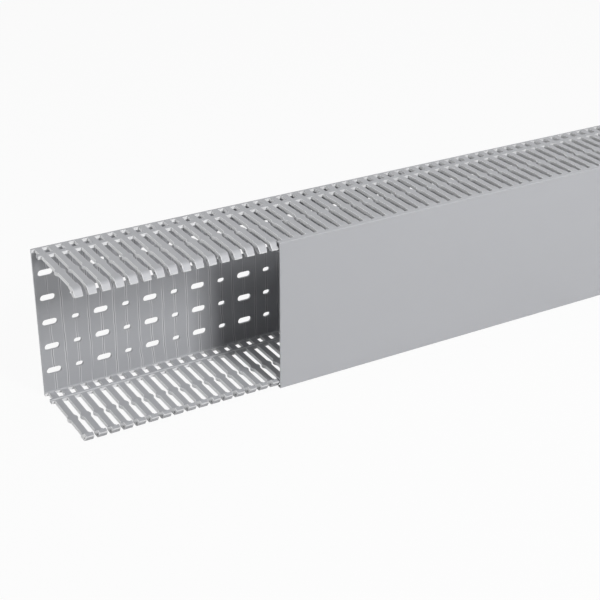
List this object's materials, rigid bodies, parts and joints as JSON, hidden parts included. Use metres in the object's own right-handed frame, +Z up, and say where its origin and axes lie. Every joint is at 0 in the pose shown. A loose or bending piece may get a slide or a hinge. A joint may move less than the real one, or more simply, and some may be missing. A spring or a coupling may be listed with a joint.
{
  "type": "slotted wire duct",
  "caption": "Deep slotted cable duct: a channel with finger walls on both sides, a back wall punched with fixing slots, and a flat clip-on cover drawn back from one end.",
  "frame": {"origin": "centre of the bottom of the whole part's bounding box, on the floor under the lower finger wall", "axes": "+X along the duct, towards the end that the cover overhangs; +Y towards the back wall, so the cover faces -Y; +Z up, from the lower finger wall to the upper one"},
  "size_m": [1.197, 0.1, 0.15],
  "materials": {
    "base_pvc": "satin",
    "cover_pvc": "satin"
  },
  "bodies": {
    "channel": {"duct_base": "base_pvc"},
    "cover": {"cover": "cover_pvc"}
  },
  "joints": [
    {"name": "cover_slide", "type": "slide", "parent": "channel", "child": "cover", "axis": [1, 0, 0], "range_m": [-0.197, 0.83]}
  ]
}
